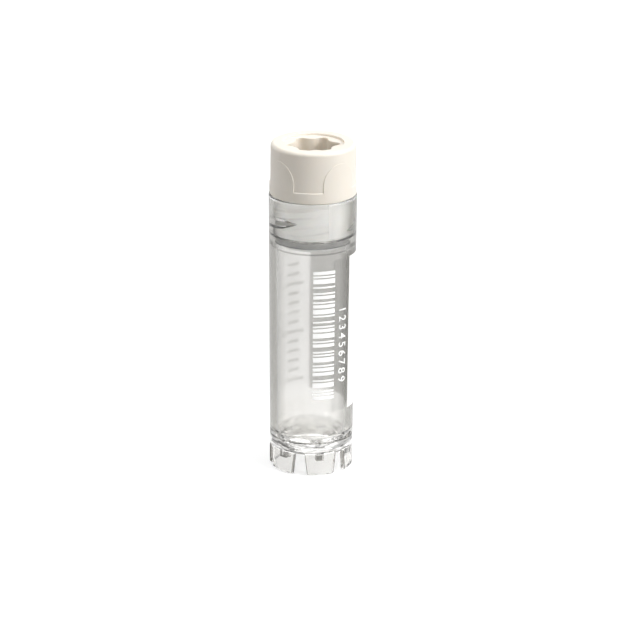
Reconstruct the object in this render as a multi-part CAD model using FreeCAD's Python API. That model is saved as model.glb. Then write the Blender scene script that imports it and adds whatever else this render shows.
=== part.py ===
import FreeCAD, Part
import math
import os

# A small cryogenic vial: a clear tube that stands on a toothed skirt, and a cap that screws
# into its mouth on a two-start thread and presses a flat ring on a ledge in the bore.
# Millimetres, +Z up, the origin in the middle of the foot. Bearings are in degrees, counted
# from -Y towards +X, so 0 faces the front and 90 faces the right.

# --- tube ---------------------------------------------------------------------------------
rim_height = 39.7            # from the foot to the rim of the tube
rim_radius = 6.15            # outside of the wall at the rim
foot_radius = 5.8            # outside of the wall at the foot
rim_round = 0.2
mouth_chamfer = 0.25
bore_top_radius = 4.8        # sample chamber, just under the ledge
bore_floor_radius = 4.68     # sample chamber, where the rounded floor begins
floor_height = 2.5           # lowest point of the chamber
floor_crown_radius = 6.0     # middle of the chamber's floor
floor_corner_radius = 2.4    # round between the floor and the wall
floor_thickness = 0.9

# --- ledge and thread in the mouth ----------------------------------------------------------
seat_depth = 6.6             # from the rim down to the ledge
seat_width = 0.35
seat_cone_height = 0.8       # cone under the ledge, down to the chamber
thread_bore_radius = 5.6
mouth_cone_height = 0.4      # cone over the sealing ring, out to the thread's bore
thread_ridge_height = 0.35
thread_lead = 5.0            # rise in one full turn
thread_starts = 2
thread_base_width = 1.5
thread_crest_width = 0.75
thread_clearance = 0.1       # radial, between each crest and the wall that it faces
thread_end_depth = 3.0       # from the rim down to the upper end of the tube's thread
thread_end_bearing = -22.0   # where that end lies
thread_fade_angle = 34.0     # stretch over which a ridge rises from nothing
ridge_stop = 0.15            # left free between a ridge and a shoulder below it

# --- foot -------------------------------------------------------------------------------------
skirt_depth = 3.15           # height of the skirt and of the gaps between its teeth
skirt_wall = 0.65
skirt_round = 0.25
tooth_count = 6
tooth_bearing = 13.8         # middle of the tooth nearest the front
gap_foot_angle = 22.0        # gap between two teeth at the foot
gap_top_angle = 14.5         # the same gap at its top
gusset_width = 1.05
gusset_height = 1.1
gusset_depth = 0.9

# --- sealing ring -----------------------------------------------------------------------------
ring_thickness = 0.85
turning_clearance = 0.05     # radial, between the ring and the nose of the cap

# --- cap ----------------------------------------------------------------------------------------
rim_gap = 0.05               # flange above the rim of the tube
cap_height = 7.25            # of the cap above that gap
flange_radius = 6.05
flange_height = 1.5
grip_radius = 5.93           # body above the flange
grip_top_radius = 5.9
cap_edge_round = 0.5
flange_round = 0.12
nose_radius = 4.4
nose_lip_width = 0.22        # lip that keeps the ring on the nose
nose_lip_height = 0.45
nose_lip_gap = 0.08          # between the ring and that lip
stem_chamfer = 0.2

# --- arched pads round the cap --------------------------------------------------------------
pad_count = 4
pad_bearing = 38.9           # middle of the pad right of the front
pad_half_angle = 24.6
pad_side_height = 1.0        # straight sides of a pad, above the flange
pad_arch_height = 3.0        # arch on top of them
pad_top_relief = 0.08        # how far a pad leans in at its top

# --- recess and driver socket in the top of the cap -------------------------------------------
recess_radius = 4.24
recess_depth = 0.32
recess_round = 0.08
socket_rib_radius = 2.8      # circle that touches the six inward ribs
socket_reach = 3.65          # circle that touches the six outward grooves
socket_groove_round = 0.8
socket_groove_count = 6
socket_groove_bearing = 96.0
socket_depth = 8.6           # below the floor of the recess
socket_edge_round = 0.14

# --- print on the tube ------------------------------------------------------------------------
print_thickness = 0.05
print_lift = 0.03            # between the wall and the print
panel_foot = 9.3             # height of the lower edge of the writing field
panel_height = 22.3
panel_start_bearing = 57.5
panel_end_bearing = 184.0

bars_foot = 11.35            # height of the lowest bar
bars_height = 18.75
bars_start_bearing = 1.5
bars_end_bearing = 31.0
bar_widths = (2, 1, 1, 3, 1, 2, 2, 1, 3, 1, 1, 2, 1, 3, 2, 1, 1, 1, 3, 2, 1, 2, 1, 1, 3, 1, 2)
bar_spaces = (1, 1, 2, 1, 3, 1, 1, 2, 1, 1, 3, 1, 2, 1, 1, 2, 3, 1, 1, 1, 2, 1, 3, 2, 1, 1)

scale_bearing = -147.0       # middle of the short marks
scale_mark_angle = 20.5      # length of a short mark
scale_long_angle = 29.0      # length of every fifth mark
scale_mark_width = 0.32
scale_first_volume = 500.0   # cubic millimetres at the lowest mark
scale_step_volume = 100.0
scale_mark_count = 13
scale_marks_per_long = 5

cutter_margin = 1.0          # how far a cutting solid reaches past what it cuts

Z_AXIS = FreeCAD.Vector(0, 0, 1)
ORIGIN = FreeCAD.Vector(0, 0, 0)

# --- sizes that follow from the ones above ------------------------------------------------------
skirt_inner_radius = foot_radius - skirt_wall
seat_height = rim_height - seat_depth
seat_cone_radius = bore_top_radius + 0.1
seat_radius = seat_cone_radius + seat_width
thread_crest_radius = thread_bore_radius - thread_ridge_height
stem_radius = thread_crest_radius - thread_clearance
stem_ridge_radius = thread_bore_radius - thread_clearance
ring_top = seat_height + ring_thickness
cone_top = ring_top + mouth_cone_height
cap_foot = rim_height + rim_gap
cap_top = cap_foot + cap_height
flange_top = cap_foot + flange_height
recess_floor = cap_top - recess_depth
# the crown of the chamber's floor runs into its corner round where their slopes agree
floor_crown_reach = math.degrees(math.asin(
    (bore_floor_radius - floor_corner_radius) / (floor_crown_radius - floor_corner_radius)
))
floor_corner_height = floor_height + floor_crown_radius - (
    (floor_crown_radius - floor_corner_radius) * math.cos(math.radians(floor_crown_reach))
)


def outer_radius(height):
    """Outside radius of the tube's wall, which tapers evenly from rim to foot."""
    return foot_radius + (rim_radius - foot_radius) * height / rim_height


def point(radius, height):
    """A point of a profile that is turned about Z."""
    return FreeCAD.Vector(radius, 0, height)


def at_bearing(radius, bearing, height):
    angle = math.radians(bearing)
    return FreeCAD.Vector(radius * math.sin(angle), -radius * math.cos(angle), height)


def turned_to(shape, bearing):
    """The shape, built facing -Y, turned to a bearing."""
    return shape.rotated(ORIGIN, Z_AXIS, bearing)


def turn(edges):
    """A full solid of revolution from the edges of a closed profile."""
    return Part.Face(Part.Wire(edges)).revolve(ORIGIN, Z_AXIS, 360)


def lines(points):
    return [Part.LineSegment(a, b).toShape() for a, b in zip(points, points[1:])]


def arc(radius, height, size, start, end):
    """Arc of a profile about a centre, between two angles counted up from straight down."""
    ends = [math.radians(a) for a in (start, (start + end) / 2, end)]
    return Part.Arc(*[
        point(radius + size * math.sin(a), height - size * math.cos(a)) for a in ends
    ]).toShape()


def ring(inner, outer, foot, top):
    corners = [point(inner, foot), point(outer, foot), point(outer, top), point(inner, top)]
    return turn(lines(corners + corners[:1]))


def cylinder(radius, foot, top, x=0.0, y=0.0):
    return Part.makeCylinder(radius, top - foot, FreeCAD.Vector(x, y, foot))


def edges_on_circle(shape, radius, height, slack=0.02):
    """The round edges of a shape at one radius and height, to be rounded off."""
    found = []
    for edge in shape.Edges:
        curve = edge.Curve
        if not hasattr(curve, "Radius") or abs(curve.Radius - radius) > slack:
            continue
        if abs(edge.BoundBox.ZMin - height) < slack and abs(edge.BoundBox.ZMax - height) < slack:
            found.append(edge)
    return found


def helical_ridge(wall, crest, start_bearing, start_height, turn_angle):
    """A ridge that climbs from a wall to a crest radius and fades out at both ends.

    It starts at a bearing and height and rises with the thread's lead. Its root reaches
    into the wall, so that it joins without a gap.
    """
    root = wall + math.copysign(0.2, wall - crest)
    steps = max(8, round(turn_angle / 10))
    sections = []
    for step in range(steps + 1):
        turned = turn_angle * step / steps
        to_end = min(turned, turn_angle - turned) / thread_fade_angle
        rise = max(0.06, math.sin(math.pi / 2 * min(1.0, to_end)))
        height = start_height + thread_lead * turned / 360
        half_base = thread_base_width / 2 * rise
        half_crest = thread_crest_width / 2 * rise
        slope = (half_base - half_crest) / abs(crest - wall) / rise
        half_root = half_base + slope * abs(root - wall)
        tip = wall + (crest - wall) * rise
        corners = [(root, -half_root), (tip, -half_crest), (tip, half_crest), (root, half_root)]
        ends = [at_bearing(r, start_bearing + turned, height + z) for r, z in corners]
        sections.append(Part.makePolygon(ends + ends[:1]))
    return Part.makeLoft(sections, True, False)


def wall_patch(start, end, foot, top):
    """A thin field of print that lies on the tube's wall between two bearings and heights."""
    inner = [outer_radius(z) + print_lift for z in (foot, top)]
    corners = [
        point(inner[0], foot),
        point(inner[0] + print_thickness, foot),
        point(inner[1] + print_thickness, top),
        point(inner[1], top),
    ]
    face = Part.Face(Part.Wire(lines(corners + corners[:1])))
    return face.rotated(ORIGIN, Z_AXIS, start - 90).revolve(ORIGIN, Z_AXIS, end - start)


def tube_blank():
    """The tube without teeth or thread, turned from one closed profile."""
    under_foot = floor_height - floor_thickness
    under_rise = skirt_depth - under_foot
    under_radius = (skirt_inner_radius ** 2 + under_rise ** 2) / (2 * under_rise)
    under_reach = math.degrees(math.asin(skirt_inner_radius / under_radius))
    rim_side = point(outer_radius(rim_height - rim_round), rim_height - rim_round)
    rim_inside = point(rim_side.x - rim_round, rim_height)
    outline = lines([
        point(skirt_inner_radius, skirt_depth),
        point(skirt_inner_radius, 0),
        point(foot_radius - skirt_round, 0),
        point(outer_radius(skirt_round), skirt_round),
        rim_side,
    ])
    outline.append(arc(rim_inside.x, rim_side.z, rim_round, 90, 180))
    outline += lines([
        rim_inside,
        point(thread_bore_radius + mouth_chamfer, rim_height),
        point(thread_bore_radius, rim_height - mouth_chamfer),
        point(thread_bore_radius, cone_top),
        point(seat_radius, ring_top),
        point(seat_radius, seat_height),
        point(seat_cone_radius, seat_height),
        point(bore_top_radius, seat_height - seat_cone_height),
        point(bore_floor_radius, floor_corner_height),
    ])
    corner_middle = bore_floor_radius - floor_corner_radius
    crown_height = floor_height + floor_crown_radius
    outline += [
        arc(corner_middle, floor_corner_height, floor_corner_radius, floor_crown_reach, 90),
        arc(0, crown_height, floor_crown_radius, 0, floor_crown_reach),
        Part.LineSegment(point(0, floor_height), point(0, under_foot)).toShape(),
        arc(0, under_foot + under_radius, under_radius, 0, under_reach),
    ]
    return turn(outline)


def ellipse_about(centre, first, second):
    """The ellipse whose half axes end at two points; the longer half axis leads."""
    if first.distanceToPoint(centre) >= second.distanceToPoint(centre):
        return Part.Ellipse(first, second, centre)
    return Part.Ellipse(second, first, centre)


def tooth_gap(bearing):
    """Wedge that cuts one gap through the skirt, wider at the foot than at the top."""
    reach = foot_radius + cutter_margin
    half_foot = reach * math.tan(math.radians(gap_foot_angle / 2))
    half_top = reach * math.tan(math.radians(gap_top_angle / 2))
    grow = (half_foot - half_top) / skirt_depth * cutter_margin
    corners = [
        FreeCAD.Vector(-half_foot - grow, -reach, -cutter_margin),
        FreeCAD.Vector(half_foot + grow, -reach, -cutter_margin),
        FreeCAD.Vector(half_top, -reach, skirt_depth),
        FreeCAD.Vector(-half_top, -reach, skirt_depth),
    ]
    apex = [FreeCAD.Vector(c.x / 4, c.y / 4, c.z) for c in corners]
    outline = [Part.makePolygon(side + side[:1]) for side in (corners, apex)]
    wedge = Part.makeLoft(outline, True, True)
    inside = cylinder(skirt_inner_radius, -2 * cutter_margin, skirt_depth + cutter_margin)
    return turned_to(wedge.cut(inside), bearing)


def tube():
    body = tube_blank()
    period = 360 / tooth_count
    gaps = [tooth_gap(tooth_bearing + period * (i + 0.5)) for i in range(tooth_count)]
    body = body.cut(gaps)
    gusset = Part.makeBox(
        gusset_width, gusset_depth + skirt_wall / 2, gusset_height + skirt_wall / 2,
        FreeCAD.Vector(
            -gusset_width / 2, -skirt_inner_radius - skirt_wall / 2, skirt_depth - gusset_height
        ),
    )
    body = body.fuse([turned_to(gusset, tooth_bearing + period * i) for i in range(tooth_count)])
    end_height = rim_height - thread_end_depth
    start_height = cone_top + ridge_stop + thread_base_width / 2
    turned = (end_height - start_height) / thread_lead * 360
    for i in range(thread_starts):
        first = thread_end_bearing - turned + 360 / thread_starts * i
        body = body.fuse(helical_ridge(
            thread_bore_radius, thread_crest_radius, first, start_height, turned
        ))
    return body.removeSplitter()


def sealing_ring():
    return ring(nose_radius + turning_clearance, stem_radius, seat_height, ring_top)


def pad(bearing):
    """One arched pad, raised from the cap's side as high as the flange stands out."""
    half = flange_radius * math.sin(math.radians(pad_half_angle))
    arch_foot = flange_top + pad_side_height
    reach = flange_radius + cutter_margin
    middle = FreeCAD.Vector(0, -reach, arch_foot)
    crown = FreeCAD.Vector(0, -reach, arch_foot + pad_arch_height)
    side = FreeCAD.Vector(half, -reach, arch_foot)
    arch = Part.Wire(ellipse_about(middle, side, crown).toShape())
    front = Part.Face(arch).extrude(FreeCAD.Vector(0, reach, 0))
    skirt = Part.makeBox(
        2 * half, reach, arch_foot - cap_foot,
        FreeCAD.Vector(-half, -reach, cap_foot),
    )
    return turned_to(front.fuse(skirt), bearing)


def cap_blank():
    """Flange, grip and stem of the cap, turned, with its arched pads."""
    pad_top = flange_top + pad_side_height + pad_arch_height
    lean = pad_top_relief / (pad_top - flange_top)
    shell = turn(lines([
        point(nose_radius, flange_top),
        point(flange_radius, flange_top),
        point(flange_radius - lean * (pad_top - flange_top), pad_top),
        point(nose_radius, pad_top),
        point(nose_radius, flange_top),
    ]))
    pads = [pad(pad_bearing + 360 / pad_count * i).common(shell) for i in range(pad_count)]
    outline = lines([
        point(0, seat_height - nose_lip_gap - nose_lip_height),
        point(nose_radius, seat_height - nose_lip_gap - nose_lip_height),
        point(nose_radius + nose_lip_width, seat_height - nose_lip_gap - nose_lip_height / 2),
        point(nose_radius + nose_lip_width, seat_height - nose_lip_gap),
        point(nose_radius, seat_height - nose_lip_gap),
        point(nose_radius, ring_top),
        point(stem_radius - stem_chamfer, ring_top),
        point(stem_radius, ring_top + stem_chamfer),
        point(stem_radius, cap_foot),
        point(flange_radius - flange_round, cap_foot),
        point(flange_radius, cap_foot + flange_round),
        point(flange_radius, flange_top),
        point(grip_radius, flange_top + (flange_radius - grip_radius)),
        point(grip_top_radius, cap_top),
        point(0, cap_top),
        point(0, seat_height - nose_lip_gap - nose_lip_height),
    ])
    return turn(outline).fuse(pads)


def driver_socket():
    """Six-lobed socket under the recess, as the solid that is cut away.

    Its section alternates between outward grooves and inward ribs, whose rounds touch.
    """
    step = 360 / socket_groove_count
    lean = math.cos(math.radians(step / 2))
    groove_middle = socket_reach - socket_groove_round
    rib_round = (
        groove_middle ** 2 + socket_rib_radius ** 2 - socket_groove_round ** 2
        - 2 * groove_middle * socket_rib_radius * lean
    ) / (2 * (socket_groove_round - socket_rib_radius + groove_middle * lean))
    share = socket_groove_round / (socket_groove_round + rib_round)
    foot = recess_floor - socket_depth
    section = []
    for i in range(socket_groove_count):
        bearing = socket_groove_bearing + step * i
        groove = at_bearing(groove_middle, bearing, foot)
        ribs = [
            at_bearing(socket_rib_radius + rib_round, bearing + side * step / 2, foot)
            for side in (-1, 1)
        ]
        next_groove = at_bearing(groove_middle, bearing + step, foot)
        touches = [
            groove + (ribs[0] - groove) * share,
            groove + (ribs[1] - groove) * share,
            next_groove + (ribs[1] - next_groove) * share,
        ]
        tip = at_bearing(socket_reach, bearing, foot)
        crest = at_bearing(socket_rib_radius, bearing + step / 2, foot)
        section.append(Part.Arc(touches[0], tip, touches[1]).toShape())
        section.append(Part.Arc(touches[1], crest, touches[2]).toShape())
    face = Part.Face(Part.Wire(section))
    return face.extrude(FreeCAD.Vector(0, 0, cap_top - foot))


def screw_cap():
    body = cap_blank()
    body = body.cut([cylinder(recess_radius, recess_floor, cap_top + cutter_margin), driver_socket()])
    body = body.removeSplitter()
    body = body.makeFillet(cap_edge_round, edges_on_circle(body, grip_top_radius, cap_top))
    body = body.makeFillet(recess_round, edges_on_circle(body, recess_radius, cap_top))
    socket_edges = [
        edge for edge in body.Edges
        if abs(edge.BoundBox.ZMin - recess_floor) < 0.001
        and abs(edge.BoundBox.ZMax - recess_floor) < 0.001
        and edge.BoundBox.XMax - edge.BoundBox.XMin < recess_radius
    ]
    body = body.makeFillet(socket_edge_round, socket_edges)
    # the stem's ridges lie midway between those of the tube, one start above and one below
    spacing = thread_lead / thread_starts
    start_height = ring_top + stem_chamfer + thread_base_width / 2 + ridge_stop
    end_height = cap_foot - thread_base_width / 2 - mouth_chamfer - ridge_stop
    turned = (end_height - start_height) / thread_lead * 360
    tube_end_height = rim_height - thread_end_depth - spacing / 2
    first = thread_end_bearing - (tube_end_height - start_height) / thread_lead * 360
    for i in range(thread_starts):
        body = body.fuse(helical_ridge(
            stem_radius, stem_ridge_radius, first + 360 / thread_starts * i, start_height, turned
        ))
    return body.removeSplitter()


def writing_panel():
    """White field to write on."""
    return wall_patch(
        panel_start_bearing, panel_end_bearing, panel_foot, panel_foot + panel_height
    )


def barcode_bars():
    """A ladder of bars, each as wide as its number of modules."""
    module = bars_height / (sum(bar_widths) + sum(bar_spaces))
    bars = []
    foot = bars_foot
    for width, space in zip(bar_widths, bar_spaces + (0,)):
        bars.append(wall_patch(
            bars_start_bearing, bars_end_bearing, foot, foot + width * module
        ))
        foot += (width + space) * module
    return Part.makeCompound(bars)


def chamber_radius(height):
    """Radius of the sample chamber at a height above its lowest point."""
    if height >= floor_corner_height:
        share = (height - floor_corner_height) / (
            seat_height - seat_cone_height - floor_corner_height
        )
        return bore_floor_radius + (bore_top_radius - bore_floor_radius) * share
    below_crown = floor_height + floor_crown_radius - height
    if below_crown > floor_crown_radius * math.cos(math.radians(floor_crown_reach)):
        return math.sqrt(floor_crown_radius ** 2 - below_crown ** 2)
    below_corner = floor_corner_height - height
    corner_reach = math.sqrt(floor_corner_radius ** 2 - below_corner ** 2)
    return bore_floor_radius - floor_corner_radius + corner_reach


def scale_height(volume):
    """Height in the chamber to which a volume of liquid reaches."""
    layer = 0.01
    height = floor_height
    filled = 0.0
    while filled < volume:
        filled += math.pi * chamber_radius(height + layer / 2) ** 2 * layer
        height += layer
    return height


def graduation_marks():
    marks = []
    for i in range(scale_mark_count):
        height = scale_height(scale_first_volume + scale_step_volume * i)
        angle = scale_mark_angle if i % scale_marks_per_long else scale_long_angle
        end = scale_bearing + scale_mark_angle / 2
        marks.append(wall_patch(
            end - angle, end, height - scale_mark_width / 2, height + scale_mark_width / 2
        ))
    return Part.makeCompound(marks)


os.makedirs("parts", exist_ok=True)
for build in (tube, screw_cap, sealing_ring, writing_panel, barcode_bars, graduation_marks):
    shape = build()
    print(build.__name__, len(shape.Solids), shape.isValid(), round(shape.Volume, 2), shape.BoundBox)
    shape.exportStep("parts/" + build.__name__ + ".step")
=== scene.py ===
# %% [markdown]
# # A clear vial with a screw cap
# The vial is a clear moulded tube on a toothed foot. An off-white cap screws into its mouth,
# a soft ring seals it, and white print lies on its wall. The CAD frame gives every size and
# place, so the first cell loads it and keeps its box.

# %% Load the frame
import math

import bpy
from mathutils import Matrix, Vector


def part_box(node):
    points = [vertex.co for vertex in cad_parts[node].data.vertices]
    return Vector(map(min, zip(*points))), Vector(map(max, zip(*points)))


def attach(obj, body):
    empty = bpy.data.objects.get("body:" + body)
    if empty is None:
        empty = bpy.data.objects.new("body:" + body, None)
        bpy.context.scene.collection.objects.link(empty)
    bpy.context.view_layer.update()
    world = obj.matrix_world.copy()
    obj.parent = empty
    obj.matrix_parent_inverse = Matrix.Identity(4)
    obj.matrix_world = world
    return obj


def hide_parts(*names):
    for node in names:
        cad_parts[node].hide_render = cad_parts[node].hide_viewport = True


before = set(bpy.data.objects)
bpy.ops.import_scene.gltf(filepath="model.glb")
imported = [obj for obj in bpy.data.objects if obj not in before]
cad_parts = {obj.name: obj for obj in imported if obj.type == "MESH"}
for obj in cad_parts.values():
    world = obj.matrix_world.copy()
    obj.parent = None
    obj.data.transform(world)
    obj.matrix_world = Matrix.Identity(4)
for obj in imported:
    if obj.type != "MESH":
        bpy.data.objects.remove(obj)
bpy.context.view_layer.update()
MM = 0.001


def mm(*lengths):
    """Turns a range given in millimetres into metres."""
    return tuple(length * MM for length in lengths)


scene = bpy.context.scene
scene.view_settings.view_transform = "Standard"

# %% [markdown]
# ## Places read from the frame
# Three numbers tell a place on the tube: its height over the bench, its distance from the
# axis, and its bearing, which is 0 at the front and grows to the right hand side. The tube,
# the writing panel and the scale are CAD nodes, so their boxes give the lengths that the new
# pieces need.

# %% Measure the tube, the panel and the scale
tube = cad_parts["tube"]
tube_low, tube_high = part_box("tube")
panel_low, panel_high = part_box("writing_panel")
marks_low, marks_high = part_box("graduation_marks")
wall_radius = (tube_high[0] - tube_low[0]) / 2
print("tube", round(2 * wall_radius / MM, 2), "mm wide")
print("panel from", round(panel_low[2] / MM, 2), "to", round(panel_high[2] / MM, 2), "mm up")
print("scale from", round(marks_low[2] / MM, 2), "to", round(marks_high[2] / MM, 2), "mm up")


# %% [markdown]
# ## Helpers for node trees
# A material is a tree of nodes. By hand each node comes from the Add menu, and its sockets are
# dragged together. In a script the same steps come back all the time, so each is a small
# function that takes the tree and gives back the socket to go on with.

# %% Feed a socket and do sums
def feed(tree, slot, value):
    """Links the slot to the socket that gives its value, or sets it to a plain number."""
    if isinstance(value, bpy.types.NodeSocket):
        tree.links.new(value, slot)
    else:
        slot.default_value = value


def math_node(tree, operation, *values):
    node = tree.nodes.new("ShaderNodeMath")
    node.operation = operation
    for slot, value in zip(node.inputs, values):
        feed(tree, slot, value)
    return node.outputs[0]


def times(tree, first, *others):
    product = first
    for other in others:
        product = math_node(tree, "MULTIPLY", product, other)
    return product


def ramp(tree, value, low, high, at_low, at_high):
    """Goes from at_low to at_high while the value goes from low to high, and stays there."""
    node = tree.nodes.new("ShaderNodeMapRange")
    node.inputs["From Min"].default_value = low
    node.inputs["From Max"].default_value = high
    node.inputs["To Min"].default_value = at_low
    node.inputs["To Max"].default_value = at_high
    feed(tree, node.inputs["Value"], value)
    return node.outputs["Result"]


# %% Stretch a place and make a soft noise
def stretched(tree, place, scale, rotation=(0, 0, 0)):
    """A larger scale along an axis packs a pattern tighter along it."""
    node = tree.nodes.new("ShaderNodeMapping")
    node.inputs["Rotation"].default_value = rotation
    node.inputs["Scale"].default_value = scale
    feed(tree, node.inputs["Vector"], place)
    return node.outputs["Vector"]


def noise(tree, place, scale, detail):
    """Clouds between 0 and 1. The scale is one metre over the size of a cloud."""
    pattern = tree.nodes.new("ShaderNodeTexNoise")
    pattern.inputs["Detail"].default_value = detail
    feed(tree, pattern.inputs["Scale"], scale)
    feed(tree, pattern.inputs["Vector"], place)
    return pattern.outputs["Fac"]


# %% [markdown]
# ## One effect for every moulded part
# Plastic that comes out of a steel mould is never even. It shows faint clouds where the melt
# met, a fine grain from the mould, and a few hairline scratches from handling. Each material
# could set these patterns up again, but a node group holds them once, and each material takes
# them at its own size and strength. They are laid in Object coordinates, so they stay on the
# piece when it moves.

# %% Build the moulded surface group
CLOUD_STRETCH = (1, 1, 0.45)
CLOUD_DETAIL = 3
GRAIN_DETAIL = 2
SCRATCH_CELLS = (260, 260, 26)
SCRATCH_TILT = (0.5, 0.9, 0.3)
SCRATCH_WIDTH = 0.012


def make_moulded_surface():
    group = bpy.data.node_groups.new("moulded_surface", "ShaderNodeTree")
    sides = group.interface
    for name, value in (("Cloud size", 3.0), ("Grain size", 0.12), ("Scratches", 0.3)):
        made = sides.new_socket(name=name, in_out="INPUT", socket_type="NodeSocketFloat")
        made.default_value = value
    for name in ("Clouds", "Height"):
        sides.new_socket(name=name, in_out="OUTPUT", socket_type="NodeSocketFloat")
    start = group.nodes.new("NodeGroupInput")
    end = group.nodes.new("NodeGroupOutput")
    place = group.nodes.new("ShaderNodeTexCoord").outputs["Object"]

    # The sizes are given in millimetres, so a scale is one metre's 1000 mm over its size.
    cloud_scale = math_node(group, "DIVIDE", 1 / MM, start.outputs["Cloud size"])
    grain_scale = math_node(group, "DIVIDE", 1 / MM, start.outputs["Grain size"])
    cloud_place = stretched(group, place, CLOUD_STRETCH)
    clouds = noise(group, cloud_place, cloud_scale, CLOUD_DETAIL)
    grain = noise(group, place, grain_scale, GRAIN_DETAIL)

    # A scratch is a thin line between long, tilted cells.
    cells = group.nodes.new("ShaderNodeTexVoronoi")
    cells.feature = "DISTANCE_TO_EDGE"
    cells.inputs["Scale"].default_value = 1.0
    feed(group, cells.inputs["Vector"], stretched(group, place, SCRATCH_CELLS, SCRATCH_TILT))
    scratch = math_node(group, "LESS_THAN", cells.outputs["Distance"], SCRATCH_WIDTH)
    depth = times(group, scratch, start.outputs["Scratches"])

    feed(group, end.inputs["Clouds"], clouds)
    feed(group, end.inputs["Height"], math_node(group, "SUBTRACT", grain, depth))
    return group


moulded_surface = make_moulded_surface()
print("group", moulded_surface.name, "has", len(moulded_surface.nodes), "nodes")


# %% [markdown]
# ## Starting a material
# Each material starts in the same way: the clouds vary its colour between a dark and a pale
# tone and its roughness between two values, and the grain and the scratches make its bump.
# A CAD node whose shape is right keeps its mesh and only gets the material.

# %% Start a material and dress a CAD node
DARK_UP_TO = 0.3
PALE_FROM = 0.7


def new_material(name):
    made = bpy.data.materials.new(name)
    made.use_nodes = True
    return made, made.node_tree, made.node_tree.nodes["Principled BSDF"]


def add_surface(tree, shader, cloud_size, grain_size, scratches, bump_mm, rough, dark, pale):
    surface = tree.nodes.new("ShaderNodeGroup")
    surface.node_tree = moulded_surface
    surface.inputs["Cloud size"].default_value = cloud_size
    surface.inputs["Grain size"].default_value = grain_size
    surface.inputs["Scratches"].default_value = scratches
    clouds = surface.outputs["Clouds"]

    colour = tree.nodes.new("ShaderNodeValToRGB")
    colour.color_ramp.elements[0].position = DARK_UP_TO
    colour.color_ramp.elements[0].color = (*dark, 1)
    colour.color_ramp.elements[1].position = PALE_FROM
    colour.color_ramp.elements[1].color = (*pale, 1)
    feed(tree, colour.inputs["Fac"], clouds)
    feed(tree, shader.inputs["Base Color"], colour.outputs["Color"])
    feed(tree, shader.inputs["Roughness"], ramp(tree, clouds, 0.0, 1.0, *rough))

    bump = tree.nodes.new("ShaderNodeBump")
    bump.inputs["Distance"].default_value = bump_mm * MM
    feed(tree, bump.inputs["Height"], surface.outputs["Height"])
    feed(tree, shader.inputs["Normal"], bump.outputs["Normal"])


def dress(node_name, material):
    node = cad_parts[node_name]
    node.data.materials.clear()
    node.data.materials.append(material)
    print(node_name, "wears", material.name)


# %% [markdown]
# ## Masks: where on a piece a finish lies
# Some finishes cover only a part of a piece, such as one ring or the cut sides of the teeth. A
# mask is 1 on that part and 0 off it. It could be painted on the mesh by hand, but the CAD's
# mesh is left alone, so each mask is worked out from the point itself: its height, its
# distance from the axis, its bearing, or the way its face looks. Masks are multiplied to find
# where they meet.

# %% Read a point's place
FLAT = (1, 1, 0)


def object_place(tree):
    return tree.nodes.new("ShaderNodeTexCoord").outputs["Object"]


def one_axis(tree, vector, axis):
    split = tree.nodes.new("ShaderNodeSeparateXYZ")
    feed(tree, split.inputs[0], vector)
    return split.outputs[axis]


def along(tree, axis):
    return one_axis(tree, object_place(tree), axis)


def vector_node(tree, operation, *vectors):
    node = tree.nodes.new("ShaderNodeVectorMath")
    node.operation = operation
    for slot, vector in zip(node.inputs, vectors):
        feed(tree, slot, vector)
    return node


def from_axis(tree):
    """Metres from the axis of the tube."""
    return vector_node(tree, "LENGTH", stretched(tree, object_place(tree), FLAT)).outputs["Value"]


def bearing_round(tree):
    """Degrees round the axis, 0 at the front and growing to the right hand side."""
    forward = times(tree, along(tree, "Y"), -1.0)
    turn = math_node(tree, "ARCTAN2", along(tree, "X"), forward)
    return math_node(tree, "DEGREES", turn)


def facing_out(tree):
    """1 on a face that looks away from the axis, and -1 on one that looks at it."""
    level_place = stretched(tree, object_place(tree), FLAT)
    outward = vector_node(tree, "NORMALIZE", level_place).outputs["Vector"]
    face = tree.nodes.new("ShaderNodeTexCoord").outputs["Normal"]
    return vector_node(tree, "DOT_PRODUCT", face, outward).outputs["Value"]


# %% Turn a place into a mask
def rising(tree, value, low, high):
    return ramp(tree, value, low, high, 0.0, 1.0)


def falling(tree, value, low, high):
    return ramp(tree, value, low, high, 1.0, 0.0)


def between(tree, value, low, high, fade):
    """1 from low to high, and it fades to 0 on both sides."""
    up = rising(tree, value, low - fade, low)
    return times(tree, up, falling(tree, value, high, high + fade))


# %% Use a mask for a tint or for a rougher skin
FACTOR = 0
COLOUR_A, COLOUR_B, COLOUR_OUT = 6, 7, 2
NUMBER_A, NUMBER_B, NUMBER_OUT = 2, 3, 0


def tint(tree, shader, mask, colour, way="MULTIPLY"):
    """Multiplies the base colour by a second one, or covers it where the way is MIX."""
    base = shader.inputs["Base Color"]
    mix = tree.nodes.new("ShaderNodeMix")
    mix.data_type = "RGBA"
    mix.blend_type = way
    feed(tree, mix.inputs[COLOUR_A], base.links[0].from_socket)
    mix.inputs[COLOUR_B].default_value = (*colour, 1)
    feed(tree, mix.inputs[FACTOR], mask)
    feed(tree, base, mix.outputs[COLOUR_OUT])


def roughen(tree, shader, mask, roughness):
    rough = shader.inputs["Roughness"]
    mix = tree.nodes.new("ShaderNodeMix")
    mix.data_type = "FLOAT"
    feed(tree, mix.inputs[NUMBER_A], rough.links[0].from_socket)
    mix.inputs[NUMBER_B].default_value = roughness
    feed(tree, mix.inputs[FACTOR], mask)
    feed(tree, rough, mix.outputs[NUMBER_OUT])


# %% [markdown]
# ## The clear plastic
# The tube is polypropylene, clear but a little milky, and greyer the longer light travels in
# it. It could be a plain glass shader, but this plastic has three things at once: a clear
# surface, a weak haze and absorption. The Transmission Weight leaves a little of the shader
# white for the haze, and a Volume Absorption node darkens the long paths inside the rims and
# the foot. The cells that follow add what the wall shows in its own places.

# %% Start the clear plastic
PLASTIC_IOR = 1.49

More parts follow.
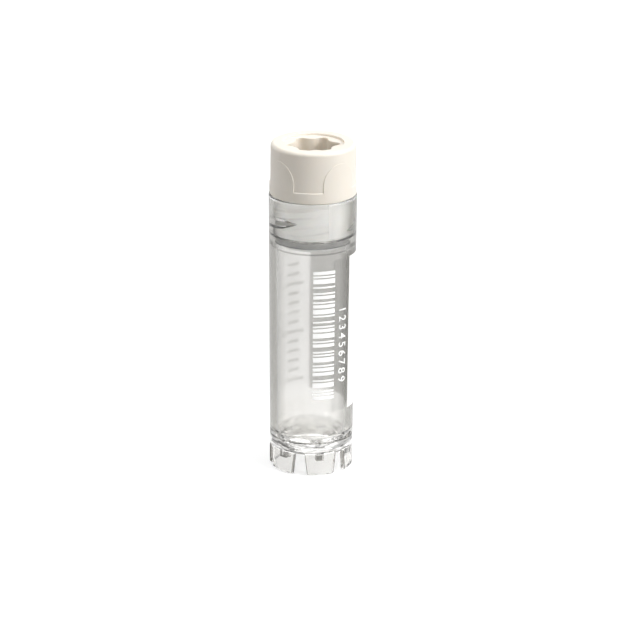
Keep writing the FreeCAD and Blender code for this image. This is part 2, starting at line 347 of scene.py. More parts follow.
clear_plastic, tree, shader = new_material("clear_polypropylene")
shader.inputs["IOR"].default_value = PLASTIC_IOR
shader.inputs["Transmission Weight"].default_value = 0.95
add_surface(tree, shader, cloud_size=4.0, grain_size=0.25, scratches=0.1, bump_mm=0.0002,
            rough=(0.02, 0.05), dark=(0.945, 0.94, 0.925), pale=(0.975, 0.97, 0.96))

absorption = tree.nodes.new("ShaderNodeVolumeAbsorption")
absorption.inputs["Color"].default_value = (0.50, 0.49, 0.46, 1)
absorption.inputs["Density"].default_value = 60
feed(tree, tree.nodes["Material Output"].inputs["Volume"], absorption.outputs["Volume"])
print("the clear plastic starts with", len(tree.nodes), "nodes")

# %% [markdown]
# ### The outer wall
# A round clear wall turns grey at its sides, because light that grazes it crosses more
# plastic. A render could find this by itself with very many light paths. Here it is painted
# shade: a Layer Weight node gives the same grey at once. It is laid on the outer wall alone,
# and its wider part only where the wall is seen directly, so that it doesn't add up on the
# faces behind.

# %% Grey the wall where it is grazed
OUTER_SKIN = mm(5.68, 5.72)
WALL_HEIGHTS = mm(4.3, 39.3)
WALL_FADE = 0.2 * MM
SIDE_FACING = (0.25, 0.50)
RIM_FACING = (0.70, 0.90)
SIDE_PAINTED_SHADE = (0.26, 0.255, 0.23)
RIM_PAINTED_SHADE = (0.4, 0.39, 0.37)

radius = from_axis(tree)
height = along(tree, "Z")
outside = rising(tree, radius, *OUTER_SKIN)
wall = times(tree, outside, between(tree, height, *WALL_HEIGHTS, WALL_FADE))
seen_first = tree.nodes.new("ShaderNodeLightPath").outputs["Is Camera Ray"]
seen_wall = times(tree, wall, seen_first)

graze = tree.nodes.new("ShaderNodeLayerWeight")
graze.inputs["Blend"].default_value = 0.5
side = rising(tree, graze.outputs["Facing"], *SIDE_FACING)
rim = rising(tree, graze.outputs["Facing"], *RIM_FACING)
# Painted shade on the grazed sides of the wall and on its rim.
tint(tree, shader, times(tree, side, seen_wall), SIDE_PAINTED_SHADE)
tint(tree, shader, times(tree, rim, wall), RIM_PAINTED_SHADE)
print("the wall's sides are grey, with", len(tree.nodes), "nodes so far")

# %% [markdown]
# The back of the writing panel stands behind the right of the wall and keeps light from it.
# A wide faint tint covers that side, and a second one covers the panel's own height.

# %% Shade the wall in front of the panel
RIGHT_BEARINGS = (26.0, 50.0)
RIGHT_FADE = 4.0
RIGHT_SHADE = (0.90, 0.90, 0.90)
SHADED_BEARINGS = (29.5, 62.0)
SHADED_FADE = 2.0
SHADED_MARGIN = 0.2 * MM
SHADED_END_FADE = 0.3 * MM
PANEL_SHADE = (0.78, 0.78, 0.775)

bearing = bearing_round(tree)
right_side = between(tree, bearing, *RIGHT_BEARINGS, RIGHT_FADE)
beside_panel = between(tree, height, panel_low[2] + SHADED_MARGIN,
                       panel_high[2] - SHADED_MARGIN, SHADED_END_FADE)
before_panel = times(tree, between(tree, bearing, *SHADED_BEARINGS, SHADED_FADE), beside_panel)
tint(tree, shader, times(tree, seen_wall, right_side), RIGHT_SHADE)
tint(tree, shader, times(tree, seen_wall, before_panel), PANEL_SHADE)
print("the right of the wall is shaded, with", len(tree.nodes), "nodes so far")

# %% [markdown]
# ### Thick and cut places
# The start of the thread and the gussets behind the teeth are thick, and the cut sides and
# corners of the teeth send light sideways, so they read as grey shapes and thin dark lines.
# Dark pieces could be modelled there, but these are places on the same moulding, so each is
# painted shade: a tint where its own height, distance and bearing meet.

# %% Darken the start of the thread
THREAD_SKIN = mm(5.50, 5.56)
THREAD_HEIGHTS = mm(34.5, 39.6)
THREAD_FADE = 0.1 * MM
LEFT_END = mm(-1.0, 0.0)
FRONT_END = mm(-0.5, 0.0)
THREAD_PAINTED_SHADE = (0.38, 0.37, 0.345)

to_right = along(tree, "X")
to_back = along(tree, "Y")
thread = times(tree, falling(tree, radius, *THREAD_SKIN),
               between(tree, height, *THREAD_HEIGHTS, THREAD_FADE))
front_left = times(tree, falling(tree, to_right, *LEFT_END), falling(tree, to_back, *FRONT_END))
# Painted shade: the dark patch that the thread's start shows through the wall.
tint(tree, shader, times(tree, thread, front_left), THREAD_PAINTED_SHADE)
print("the thread's start is grey at the front left")

# %% Darken the gusset behind each tooth
TEETH = 6
FIRST_GUSSET = 13.8
GUSSET_PITCH = 360 / TEETH
GUSSET_HALF = 6.3
GUSSET_SIDE_FADE = 0.2
GUSSET_REACH = mm(4.1, 5.1)
GUSSET_HEIGHTS = mm(1.9, 3.1)
SHARP = 0.02 * MM
GUSSET_PAINTED_SHADE = (0.07, 0.068, 0.06)

from_first = math_node(tree, "SUBTRACT", bearing, FIRST_GUSSET)
from_gusset = math_node(tree, "WRAP", from_first, GUSSET_PITCH / 2, -GUSSET_PITCH / 2)
gusset = times(tree, between(tree, from_gusset, -GUSSET_HALF, GUSSET_HALF, GUSSET_SIDE_FADE),
               between(tree, radius, *GUSSET_REACH, SHARP),
               between(tree, height, *GUSSET_HEIGHTS, SHARP))
# Painted shade: each gusset shows as a dark patch through the clear foot.
tint(tree, shader, gusset, GUSSET_PAINTED_SHADE)
print("gussets at", [round(FIRST_GUSSET + n * GUSSET_PITCH, 1) for n in range(TEETH)], "degrees")

# %% [markdown]
# A cut side of a tooth looks neither outward nor up, so the way its face looks finds it.

# %% Tint the cut sides of the teeth
CUT_TURN = 0.4
CUT_TILT = 0.5
CUT_FADE = 0.05
SKIRT_INSIDE = mm(5.0, 5.1)
CUT_HEIGHTS = mm(0.2, 3.0)
LINE_FADE = 0.05 * MM
CUT_PAINTED_SHADE = (0.52, 0.51, 0.49)

face = tree.nodes.new("ShaderNodeTexCoord").outputs["Normal"]
cut_side = times(tree, between(tree, facing_out(tree), -CUT_TURN, CUT_TURN, CUT_FADE),
                 between(tree, one_axis(tree, face, "Z"), -CUT_TILT, CUT_TILT, CUT_FADE),
                 rising(tree, radius, *SKIRT_INSIDE),
                 between(tree, height, *CUT_HEIGHTS, LINE_FADE))
# Painted shade on the cut sides of the teeth, which send light sideways.
tint(tree, shader, cut_side, CUT_PAINTED_SHADE)
print("the cut sides are grey, with", len(tree.nodes), "nodes so far")

# %% [markdown]
# A gap between two teeth is wider at the bench than at its top, so a tooth's edge moves away
# from its middle as it goes up. The painted shade line along that edge leans in the same way.

# %% Draw the corners of the teeth
TOOTH_HEIGHT = 3.15 * MM
TOOTH_WIDENING = 3.75
CORNER_SPAN = (17.9, 19.5)
CORNER_FADE = 0.2
CORNER_HEIGHTS = mm(0.1, 2.95)
CORNER_PAINTED_SHADE = (0.24, 0.235, 0.22)

widening = ramp(tree, height, 0.0, TOOTH_HEIGHT, 0.0, TOOTH_WIDENING)
across_tooth = math_node(tree, "SUBTRACT", math_node(tree, "ABSOLUTE", from_gusset), widening)
corner_line = times(tree, outside, between(tree, across_tooth, *CORNER_SPAN, CORNER_FADE),
                    between(tree, height, *CORNER_HEIGHTS, LINE_FADE))
# Painted shade: a thin dark line along each corner of a tooth.
tint(tree, shader, corner_line, CORNER_PAINTED_SHADE)
print("each tooth has two leaning corner lines")

# %% Line the foot ring's step and the edge of the sealing ring's seat
STEP_HEIGHTS = mm(4.72, 4.86)
STEP_FADE = 0.03 * MM
STEP_PAINTED_SHADE = (0.30, 0.295, 0.28)
SKIRT_TOP = mm(3.0, 3.1)
SKIRT_SHADE = (0.92, 0.915, 0.90)
SEAT_REACH = mm(4.6, 4.95)
SEAT_HEIGHTS = mm(32.15, 32.35)
SEAT_PAINTED_SHADE = (0.35, 0.34, 0.32)

step_line = times(tree, outside, between(tree, height, *STEP_HEIGHTS, STEP_FADE))
skirt = times(tree, outside, falling(tree, height, *SKIRT_TOP))
seat_edge = times(tree, between(tree, radius, *SEAT_REACH, SHARP),
                  between(tree, height, *SEAT_HEIGHTS, LINE_FADE))
# Painted shade: thin dark lines on the foot ring's step and on the seat's edge, and a faint
# darkening of the skirt.
tint(tree, shader, step_line, STEP_PAINTED_SHADE)
tint(tree, shader, skirt, SKIRT_SHADE)
tint(tree, shader, seat_edge, SEAT_PAINTED_SHADE)
print("the lines are drawn, with", len(tree.nodes), "nodes so far")

# %% [markdown]
# ### The foot ring and the floor's corner
# The ring at the foot is the thickest plastic of the tube, so it cools last. Its skin sinks in
# shallow waves, and the light in it breaks up into pale flecks and dark streaks. The waves
# could be sculpted, but the CAD's mesh stays as it is, so one noise bumps the surface. A
# second, flatter noise places both the painted shade streaks here and the flecks of the
# painted glow further on.

# %% Let the ring sink in waves
WAVE_SIZE = 1.5 * MM
WAVE_STRETCH = (1, 1, 2.2)
WAVE_DEPTH = 0.6 * MM
WAVE_HEIGHTS = mm(3.5, 5.2)
WAVE_FADE = 0.3 * MM
WAVE_SKIN = mm(5.0, 5.2)
OUTSIDE_WAVES = 0.2

sink = noise(tree, stretched(tree, object_place(tree), WAVE_STRETCH), 1 / WAVE_SIZE, 1)
ring_foot = times(tree, between(tree, height, *WAVE_HEIGHTS, WAVE_FADE),
                  ramp(tree, radius, *WAVE_SKIN, 1.0, OUTSIDE_WAVES))
waves = tree.nodes.new("ShaderNodeBump")
waves.inputs["Distance"].default_value = WAVE_DEPTH
feed(tree, waves.inputs["Height"], times(tree, sink, ring_foot))
grain_bump = shader.inputs["Normal"].links[0].from_node
feed(tree, grain_bump.inputs["Normal"], waves.outputs["Normal"])
print("waves of", WAVE_SIZE / MM, "mm lie under the grain")

# %% Streak the corner of the floor
BLOT_SIZE = 3.0 * MM
BLOT_STRETCH = (1, 1, 3.5)
BORE_SKIN = mm(4.9, 5.0)
HALVES_MEET = mm(-1.5, 1.5)
LOW_BORE_HEIGHTS = mm(6.0, 7.5)
LOW_BORE_FADE = 1.5 * MM
LOW_BORE_SHADE = (0.90, 0.895, 0.88)
STREAK_LEVELS = (0.47, 0.53)
STREAK_HEIGHTS = mm(4.1, 5.3)
STREAK_FADE = 0.1 * MM
STREAK_PAINTED_SHADE = (0.28, 0.275, 0.255)
CROWN_HEIGHTS = mm(3.5, 4.8)
CROWN_FADE = 0.8 * MM
CROWN_PAINTED_SHADE = (0.52, 0.515, 0.495)

blots = noise(tree, stretched(tree, object_place(tree), BLOT_STRETCH), 1 / BLOT_SIZE, 1)
bore = falling(tree, radius, *BORE_SKIN)
front_half = falling(tree, to_back, *HALVES_MEET)
back_half = rising(tree, to_back, *HALVES_MEET)
low_bore = times(tree, bore, between(tree, height, *LOW_BORE_HEIGHTS, LOW_BORE_FADE))
streaks = times(tree, bore, front_half, falling(tree, blots, *STREAK_LEVELS),
                between(tree, height, *STREAK_HEIGHTS, STREAK_FADE))
crown = times(tree, bore, back_half, between(tree, height, *CROWN_HEIGHTS, CROWN_FADE))
# Painted shade: a slightly darker low bore, dark streaks at the front of the floor's corner and a
# grey crown behind it.
tint(tree, shader, low_bore, LOW_BORE_SHADE)
tint(tree, shader, streaks, STREAK_PAINTED_SHADE)
tint(tree, shader, crown, CROWN_PAINTED_SHADE)
print("the corner is streaked, with", len(tree.nodes), "nodes so far")

# %% [markdown]
# ### Rougher skin and painted glow
# The core pin that forms the bore is less polished than the outside of the mould, so the bore
# above the floor, the thread and the roof of the pocket under the floor come out a little
# rough.

# %% Roughen the bore, the neck and the roof
FLOOR_END = mm(5.0, 6.5)
BORE_ROUGHNESS = 0.2
THREAD_BORE = mm(5.62, 5.66)
NECK_START = mm(34.4, 34.6)
NECK_RIGHT = mm(-1.0, 4.5)
NECK_ROUGHNESS = 0.45
ROOF_HEIGHTS = mm(3.05, 3.25)
POCKET_SKIN = mm(5.14, 5.2)
ROOF_ROUGHNESS = 0.2

above_floor = times(tree, bore, rising(tree, height, *FLOOR_END))
neck = times(tree, falling(tree, radius, *THREAD_BORE), rising(tree, height, *NECK_START),
             rising(tree, to_right, *NECK_RIGHT))
roof = times(tree, between(tree, height, *ROOF_HEIGHTS, SHARP),
             falling(tree, radius, *POCKET_SKIN))
roughen(tree, shader, above_floor, BORE_ROUGHNESS)
roughen(tree, shader, neck, NECK_ROUGHNESS)
roughen(tree, shader, roof, ROOF_ROUGHNESS)
print("three places are rougher than the wall")

# %% Paint a glow on the roof and the foot ring
ROOF_PAINTED_GLOW = 0.85
BAND_HEIGHTS = mm(3.35, 4.6)
BAND_FADE = 0.05 * MM
BAND_LEVELS = (0.45, 0.48)
BAND_PAINTED_GLOW = (0.04, 0.32)
UPPER_HEIGHTS = mm(4.95, 5.7)
UPPER_FADE = 0.1 * MM
UPPER_LEVELS = (0.555, 0.58)
UPPER_PAINTED_GLOW = (0.0, 0.30)

# Painted light: the roof glows evenly, and the foot ring has a pale band with brighter flecks,
# though neither is a lamp.
band = times(tree, outside, between(tree, height, *BAND_HEIGHTS, BAND_FADE),
             ramp(tree, blots, *BAND_LEVELS, *BAND_PAINTED_GLOW))
upper_band = times(tree, outside, between(tree, height, *UPPER_HEIGHTS, UPPER_FADE),
                   ramp(tree, blots, *UPPER_LEVELS, *UPPER_PAINTED_GLOW))
ring_painted_glow = math_node(tree, "ADD", band, upper_band)
glow = math_node(tree, "ADD", times(tree, roof, ROOF_PAINTED_GLOW), ring_painted_glow)
feed(tree, shader.inputs["Emission Color"], glow)
shader.inputs["Emission Strength"].default_value = 1.0
dress("tube", clear_plastic)
print("the clear plastic ends with", len(tree.nodes), "nodes")

# %% [markdown]
# ## The cap's plastic
# The cap is an off-white filled plastic with a satin mould finish. A plain colour would look
# like paint. In the real one a little light goes in before it comes back, which softens its
# shading, so the shader has some subsurface. The stem, which is seen through the clear neck,
# is a cooler white. It is the part below the flange and outside the socket, so two masks
# cover it and leave the socket's walls off-white.

# %% Make the cap's plastic
STEM_TOP = mm(39.6, 39.7)
SOCKET_SKIN = mm(3.95, 4.05)
STEM_WHITE = (0.86, 0.86, 0.84)

cap_plastic, tree, shader = new_material("satin_cap_plastic")
shader.inputs["IOR"].default_value = PLASTIC_IOR
shader.inputs["Subsurface Weight"].default_value = 0.2
shader.inputs["Subsurface Radius"].default_value = (1.0, 0.8, 0.6)
shader.inputs["Subsurface Scale"].default_value = 0.8 * MM
add_surface(tree, shader, cloud_size=5.0, grain_size=0.14, scratches=0.25, bump_mm=0.004,
            rough=(0.34, 0.46), dark=(0.83, 0.775, 0.69), pale=(0.86, 0.805, 0.72))
below_flange = falling(tree, along(tree, "Z"), *STEM_TOP)
round_socket = rising(tree, from_axis(tree), *SOCKET_SKIN)
tint(tree, shader, times(tree, below_flange, round_socket), STEM_WHITE, "MIX")
dress("screw_cap", cap_plastic)

# %% [markdown]
# ## The ring's rubber
# The sealing ring is soft, half-clear silicone. It could be a clear shader too, but in so thin
# a ring, pressed between two parts, it reads as an even grey, darker than the plastic round
# it, so a dull grey with the moulded surface does it.

# %% Make the seal's rubber
SILICONE_IOR = 1.41

seal_rubber, tree, shader = new_material("grey_silicone")
shader.inputs["IOR"].default_value = SILICONE_IOR
add_surface(tree, shader, cloud_size=2.0, grain_size=0.1, scratches=0.2, bump_mm=0.006,
            rough=(0.42, 0.55), dark=(0.24, 0.24, 0.235), pale=(0.30, 0.30, 0.29))
dress("sealing_ring", seal_rubber)


# %% [markdown]
# ## The sealing ring
# The CAD ring is a plain band. A moulded ring has a round lip where it is squeezed, and that
# lip catches the light as a thin bright line. A torus would be round all over, so its section
# is drawn instead, as a small rectangle with well rounded corners, and spun once round the
# axis.

# %% Draw the ring's section
LIP_RADIUS = 0.3 * MM
LIP_SEGMENTS = 6


def select_nothing():
    bpy.ops.object.select_all(action="DESELECT")


def inner_radius(node_name):
    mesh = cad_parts[node_name].data
    return min(math.hypot(v.co.x, v.co.y) for v in mesh.vertices)


ring_low, ring_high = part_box("sealing_ring")
ring_outer = ring_high[0]
ring_inner = inner_radius("sealing_ring")
select_nothing()
bpy.ops.mesh.primitive_plane_add(size=1, location=(0, 0, 0))
ring = bpy.context.object
ring.name = "soft_sealing_ring"
ring.scale = (ring_outer - ring_inner, ring_high[2] - ring_low[2], 1)
ring.rotation_euler = (math.radians(90), 0, 0)
ring.location = ((ring_outer + ring_inner) / 2, 0, (ring_low[2] + ring_high[2]) / 2)
bpy.ops.object.transform_apply(location=True, rotation=True, scale=True)
bpy.ops.object.mode_set(mode="EDIT")
bpy.ops.mesh.select_all(action="SELECT")
bpy.ops.mesh.bevel(offset=LIP_RADIUS, segments=LIP_SEGMENTS, affect="VERTICES")
bpy.ops.mesh.select_all(action="SELECT")
bpy.ops.mesh.delete(type="ONLY_FACE")
bpy.ops.object.mode_set(mode="OBJECT")
print("the section has", len(ring.data.vertices), "points")

# %% Spin the section round the axis
RING_STEPS = 128
SAME_POINT = 0.001 * MM

bpy.ops.object.mode_set(mode="EDIT")
bpy.ops.mesh.select_all(action="SELECT")
bpy.ops.mesh.spin(steps=RING_STEPS, angle=math.tau, center=(0, 0, 0), axis=(0, 0, 1))
bpy.ops.mesh.select_all(action="SELECT")
bpy.ops.mesh.remove_doubles(threshold=SAME_POINT)
bpy.ops.mesh.normals_make_consistent(inside=False)
bpy.ops.mesh.faces_shade_smooth()
bpy.ops.object.mode_set(mode="OBJECT")
ring.data.materials.append(seal_rubber)
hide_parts("sealing_ring")
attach(ring, "seal")
print("the ring has", len(ring.data.polygons), "faces and is", round(2 * ring_outer / MM, 2),
      "mm wide")

# %% [markdown]
# ## The white ink
# The print is a thick matt ink. Its edge is a little uneven and it has tiny pin holes, which
# show as a fine grain in its height and as paler and greyer flecks. Ink also passes some of
# the light that falls on its other side, and a weak painted glow stands in for that light. The
# bars and the digits are laid on thick and glow most on the outside. The panel and the scale
# are a thin film and glow most on the side that looks into the tube, so that their outside
# keeps its shading.

# %% Make the two inks
INK_PAINTED_GLOW = 0.2
EDGE_OF_FILM = (-0.2, 0.2)


def make_white_ink(name, outer_glow):
    """outer_glow is how strongly the outside of the film glows, where the inside is 1."""
    material, tree, shader = new_material(name)
    add_surface(tree, shader, cloud_size=0.6, grain_size=0.06, scratches=0.15, bump_mm=0.004,
                rough=(0.4, 0.6), dark=(0.88, 0.88, 0.865), pale=(0.92, 0.92, 0.905))
    # Painted light: the ink glows though it is no lamp, most on one side of the film.
    glow = ramp(tree, facing_out(tree), *EDGE_OF_FILM, 1.0, outer_glow)
    feed(tree, shader.inputs["Emission Color"], glow)
    shader.inputs["Emission Strength"].default_value = INK_PAINTED_GLOW
    return material


thin_ink = make_white_ink("matt_white_ink", outer_glow=0.2)
thick_ink = make_white_ink("heavy_white_ink", outer_glow=1.3)
dress("barcode_bars", thick_ink)


# %% [markdown]
# ## Print on the wall
# The ink is a thin film on the outside of the tube. The writing panel and the scale are seen
# from behind, through the clear wall, so how the film meets the wall matters: it is laid a few
# thousandths of a millimetre off the wall, because a film sunk into the plastic would get
# less than half of the light. A patch could be cut out of a copy of the tube, but that copy
# has thousands of loose triangles. It is simpler to start from an open cylinder at the patch's
# height. Two bisect cuts take away what is outside its bearings, Shrinkwrap lays it on the
# tapered wall and Solidify gives it its depth.

# %% Lay a piece on the wall and finish it as ink
INK_DEPTH = 0.03 * MM
INK_GAP = 0.005 * MM


def apply_place(piece):
    select_nothing()
    piece.select_set(True)
    bpy.context.view_layer.objects.active = piece
    bpy.ops.object.transform_apply(location=True, rotation=True, scale=True)


def lay_on_wall(piece, method):
    press = piece.modifiers.new("lay on the wall", "SHRINKWRAP")
    press.target = tube
    press.wrap_method = method
    press.wrap_mode = "OUTSIDE_SURFACE"
    press.offset = INK_GAP
    if method == "PROJECT":
        press.use_project_y = True
        press.use_positive_direction = True
        press.use_negative_direction = False
    bpy.context.view_layer.objects.active = piece
    bpy.ops.object.modifier_apply(modifier=press.name)


def thicken_ink(piece):
    thicken = piece.modifiers.new("ink depth", "SOLIDIFY")
    thicken.thickness = INK_DEPTH
    thicken.offset = 1
    bpy.ops.object.modifier_apply(modifier=thicken.name)


def finish_print(piece, ink):
    piece.data.materials.clear()
    piece.data.materials.append(ink)
    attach(piece, "vial")


# %% Cut a patch of ink out of a cylinder
WALL_STEPS = 360


def keep_one_side(bearing, sign):
    """Cuts the open cylinder along the axis at a bearing and clears one side of the cut."""
    turn = math.radians(bearing)
    across = (sign * math.cos(turn), sign * math.sin(turn), 0)
    bpy.ops.mesh.select_all(action="SELECT")
    bpy.ops.mesh.bisect(plane_co=(0, 0, 0), plane_no=across, clear_inner=True)


def wall_patch(name, start, end, low, high):
    """start and end are bearings in degrees, less than half a turn apart."""
    select_nothing()
    bpy.ops.mesh.primitive_cylinder_add(
        vertices=WALL_STEPS, radius=wall_radius, depth=high - low, end_fill_type="NOTHING",
        location=(0, 0, (low + high) / 2))
    piece = bpy.context.object
    piece.name = name
    apply_place(piece)
    bpy.ops.object.mode_set(mode="EDIT")
    keep_one_side(start, 1)
    keep_one_side(end, -1)
    bpy.ops.object.mode_set(mode="OBJECT")
    lay_on_wall(piece, "NEAREST_SURFACEPOINT")
    thicken_ink(piece)
    finish_print(piece, thin_ink)
    return piece


# %% [markdown]
# ## The writing panel and the scale
# The panel is a bare patch, to be written on. The scale is a ladder of short patches, one for
# each tenth of a millilitre, and every fifth mark is long. The tube is tapered, so each mark
# is laid on the wall at its own height, where a copy moved up or down wouldn't fit.

# %% Lay the panel
PANEL_START = 57.5
PANEL_END = 184.0

panel = wall_patch("panel_ink", PANEL_START, PANEL_END, panel_low[2], panel_high[2])
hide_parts("writing_panel")
print("panel", round((panel_high[2] - panel_low[2]) / MM, 2), "mm high, with",
      len(panel.data.polygons), "faces")

# %% Lay the marks of the scale
MARKS = 13
LONG_MARK_EVERY = 5
MARK_WIDTH = 0.32 * MM
MARK_ANGLE = 20.5
LONG_MARK_ANGLE = 29.0
SCALE_END = -136.75

mark_step = (marks_high[2] - marks_low[2] - MARK_WIDTH) / (MARKS - 1)
mark_heights = [marks_low[2] + MARK_WIDTH / 2 + mark * mark_step for mark in range(MARKS)]
for mark, up in enumerate(mark_heights):
    angle = MARK_ANGLE if mark % LONG_MARK_EVERY else LONG_MARK_ANGLE
    piece = wall_patch(f"scale_mark_{mark + 1}", SCALE_END - angle, SCALE_END,
                       up - MARK_WIDTH / 2, up + MARK_WIDTH / 2)
    if mark == 0:
        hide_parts("graduation_marks")
print(MARKS, "marks,", round(mark_step / MM, 3), "mm apart")


# %% [markdown]
# ## Numbers on the wall
# The scale has a number at each long mark, and a row of plain digits runs down beside the
# bars. Digits could be drawn point by point, but a Text object already holds their outlines.
# It is made a mesh while it is flat, stood up in front of the wall, laid on the wall and
# thickened like a patch, and then turned round the tube to its bearing.

# %% Print a piece of text on the wall
DIGIT_SHARE = 0.7
STROKE_GROWTH = 0.01 * MM
START_OUT = 1.2


def print_text(name, words, ink, height, bearing, up, quarter_turns=0):
    """height is that of a digit, which is only a share of the text's size."""
    select_nothing()
    bpy.ops.object.text_add(location=(0, 0, 0))
    piece = bpy.context.object
    piece.name = name
    piece.data.body = words
    piece.data.size = height / DIGIT_SHARE
    piece.data.offset = STROKE_GROWTH
    piece.data.align_x = "CENTER"
    piece.data.align_y = "CENTER"
    bpy.ops.object.convert(target="MESH")

    bpy.ops.object.mode_set(mode="EDIT")
    bpy.ops.mesh.select_all(action="SELECT")
    bpy.ops.mesh.remove_doubles(threshold=SAME_POINT)
    bpy.ops.mesh.subdivide(number_cuts=1)
    bpy.ops.object.mode_set(mode="OBJECT")

    piece.rotation_euler = (math.radians(90), math.radians(90 * quarter_turns), 0)
    piece.location = (0, -START_OUT * wall_radius, up)
    apply_place(piece)
    lay_on_wall(piece, "PROJECT")
    thicken_ink(piece)
    piece.rotation_euler = (0, 0, math.radians(bearing))
    apply_place(piece)
    finish_print(piece, ink)
    return piece


# %% Put a number at each long mark of the scale
NUMBER_HEIGHT = 1.0 * MM
NUMBER_BEARING = -128.0
FIRST_AMOUNT = 0.5
AMOUNT_STEP = 0.1

for mark in range(0, MARKS, LONG_MARK_EVERY):
    amount = f"{FIRST_AMOUNT + AMOUNT_STEP * mark:.1f}"
    number = print_text(f"scale_number_{mark + 1}", amount, thin_ink, NUMBER_HEIGHT,
                        NUMBER_BEARING, mark_heights[mark])
    print(number.name, "reads", amount, "at", round(mark_heights[mark] / MM, 2), "mm")

# %% Run plain digits down beside the bars
DIGITS = "123456789"
DIGIT_HEIGHT = 1.25 * MM
DIGIT_BEARING = 44.0
DIGIT_TOP = 24.1 * MM
DIGIT_PITCH = 1.28 * MM

for place_in_row, digit in enumerate(DIGITS):
    down = DIGIT_TOP - place_in_row * DIGIT_PITCH
    print_text(f"bar_digit_{place_in_row + 1}", digit, thick_ink, DIGIT_HEIGHT, DIGIT_BEARING,
               down, 1)
print(len(DIGITS), "digits from", round(DIGIT_TOP / MM, 2), "down to", round(down / MM, 2), "mm")


# %% [markdown]
# ## Floor and sky
# The vial stands on a plain white sweep. More light would make it white, but it would burn the
# cap as well. So floor and sky are white to the camera and to gloss and clear plastic, and
# plainer to the light that reaches a dull surface. The floor keeps the shadow, because its
# white is only added to what the lamps give it. Near the vial it is a little brighter, which
# stands for the light that the clear foot throws on the bench.

# %% Tell which rays meet the white
THROUGH_PLASTIC = 1.5


def seen_directly(tree):
    """The share of the white that a ray meets, and whether it is the camera's own ray.

    The share is 1 for the camera, gloss and clear plastic, and 0 for the light that falls
    straight on a dull surface. Light that comes to it through plastic gets the boost."""
    path = tree.nodes.new("ShaderNodeLightPath")
    by_camera = path.outputs["Is Camera Ray"]
    by_gloss = math_node(tree, "MAXIMUM", by_camera, path.outputs["Is Glossy Ray"])
    by_any = math_node(tree, "MAXIMUM", by_gloss, path.outputs["Is Transmission Ray"])
    boost = ramp(tree, path.outputs["Diffuse Depth"], 0.0, 1.0, 1.0, THROUGH_PLASTIC)
    return times(tree, by_any, boost), by_camera


# %% Lay the floor
FLOOR_SIZE = 3.0
CAMERA_GLOW = 0.6
NEAR_GLOW = 0.58
FAR_GLOW = 0.42
GLOW_EDGE = mm(26, 40)

select_nothing()
bpy.ops.mesh.primitive_plane_add(size=FLOOR_SIZE, location=(0, 0, 0))
floor = bpy.context.object
floor.name = "floor"
floor_paint, tree, shader = new_material("white_floor")
shader.inputs["Base Color"].default_value = (0.5, 0.5, 0.5, 1)
shader.inputs["Roughness"].default_value = 0.7
shader.inputs["Specular IOR Level"].default_value = 0.2
shader.inputs["Emission Color"].default_value = (1, 1, 1, 1)
seen, by_camera = seen_directly(tree)
on_bench = ramp(tree, from_axis(tree), *GLOW_EDGE, NEAR_GLOW, FAR_GLOW)
glow = math_node(tree, "MAXIMUM", on_bench, times(tree, by_camera, CAMERA_GLOW))
feed(tree, shader.inputs["Emission Strength"], times(tree, seen, glow))
floor.data.materials.append(floor_paint)
print("the floor is", FLOOR_SIZE, "m wide")

# %% Make the sky
DULL_SKY = 0.235
LEVEL_SKY = 1.1
OVERHEAD_SKY = 0.8
SKY_BAND = (0.05, 0.6)

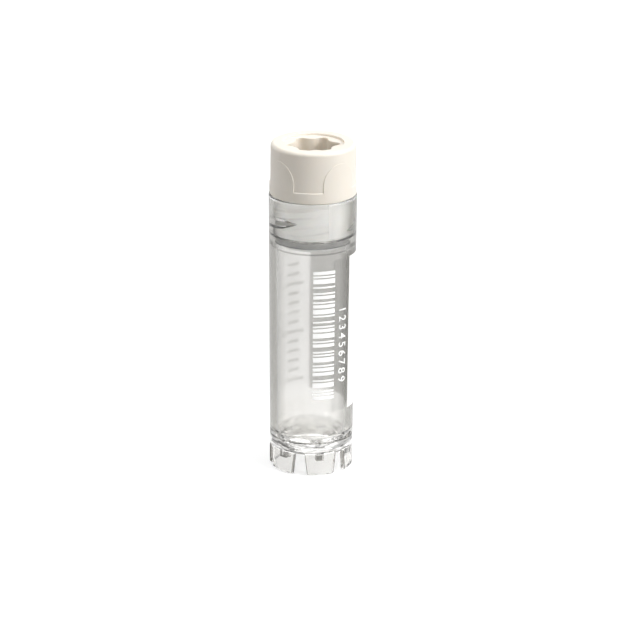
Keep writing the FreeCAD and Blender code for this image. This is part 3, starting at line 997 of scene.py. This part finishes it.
sky = bpy.data.worlds.new("studio")
scene.world = sky
sky.use_nodes = True
tree = sky.node_tree
dim = tree.nodes["Background"]
dim.inputs["Color"].default_value = (1, 1, 1, 1)
dim.inputs["Strength"].default_value = DULL_SKY
white = tree.nodes.new("ShaderNodeBackground")
white.inputs["Color"].default_value = (1, 1, 1, 1)
seen, by_camera = seen_directly(tree)
direction = tree.nodes.new("ShaderNodeTexCoord").outputs["Generated"]
steepness = one_axis(tree, direction, "Z")
by_height = ramp(tree, steepness, *SKY_BAND, LEVEL_SKY, OVERHEAD_SKY)
strength = math_node(tree, "MAXIMUM", by_height, by_camera)
feed(tree, white.inputs["Strength"], times(tree, strength, seen))
choose = tree.nodes.new("ShaderNodeMixShader")
feed(tree, choose.inputs[0], seen)
feed(tree, choose.inputs[1], dim.outputs[0])
feed(tree, choose.inputs[2], white.outputs[0])
feed(tree, tree.nodes["World Output"].inputs[0], choose.outputs[0])
print("the sky has", len(tree.nodes), "nodes")


# %% [markdown]
# ## Lamps
# Three soft boxes light the vial as in a small studio. One big lamp overhead lights the cap's
# top, the key lamp on the right gives the cap and the wall their slow shading, and a weak one
# behind on the left keeps that edge from sinking into the dark.

# %% Hang the lamps
LAMP_AIM = (0, 0, 0.024)


def softbox(name, at, width, height, watts):
    lamp_data = bpy.data.lights.new(name, "AREA")
    lamp_data.shape = "RECTANGLE"
    lamp_data.size = width
    lamp_data.size_y = height
    lamp_data.energy = watts
    lamp = bpy.data.objects.new(name, lamp_data)
    scene.collection.objects.link(lamp)
    lamp.location = at
    lamp.rotation_euler = (Vector(LAMP_AIM) - Vector(at)).to_track_quat("-Z", "Y").to_euler()
    print(name, "lamp of", watts, "W")


softbox("overhead", at=(0, 0, 0.55), width=0.5, height=0.5, watts=2.3)
softbox("key", at=(0.382, -0.139, 0.26), width=0.3, height=0.3, watts=1.78)
softbox("edge", at=(-0.38, 0.17, 0.12), width=0.15, height=0.3, watts=0.25)

# %% [markdown]
# ## The camera
# A long lens far away keeps the tube's sides nearly upright. It looks down at about 19
# degrees, so the rims open into thin ovals and the socket in the cap shows.

# %% Place the camera
ELEVATION = math.radians(18.8)
DISTANCE = 640 * MM
ROLL = math.radians(0.464)
LENS = 257.97
SENSOR = 36

aim = Vector((1.114 * MM, 0, 21.07 * MM))
camera_data = bpy.data.cameras.new("camera")
camera_data.sensor_width = SENSOR
camera_data.lens = LENS
camera_data.clip_start = 0.01
camera_data.clip_end = 100
camera = bpy.data.objects.new("camera", camera_data)
scene.collection.objects.link(camera)
stand = aim + DISTANCE * Vector((0, -math.cos(ELEVATION), math.sin(ELEVATION)))
facing = (aim - stand).to_track_quat("-Z", "Y").to_matrix().to_4x4()
camera.matrix_world = Matrix.Translation(stand) @ facing @ Matrix.Rotation(ROLL, 4, "Z")
scene.camera = camera
print("the camera stands", round(DISTANCE / MM), "mm away")
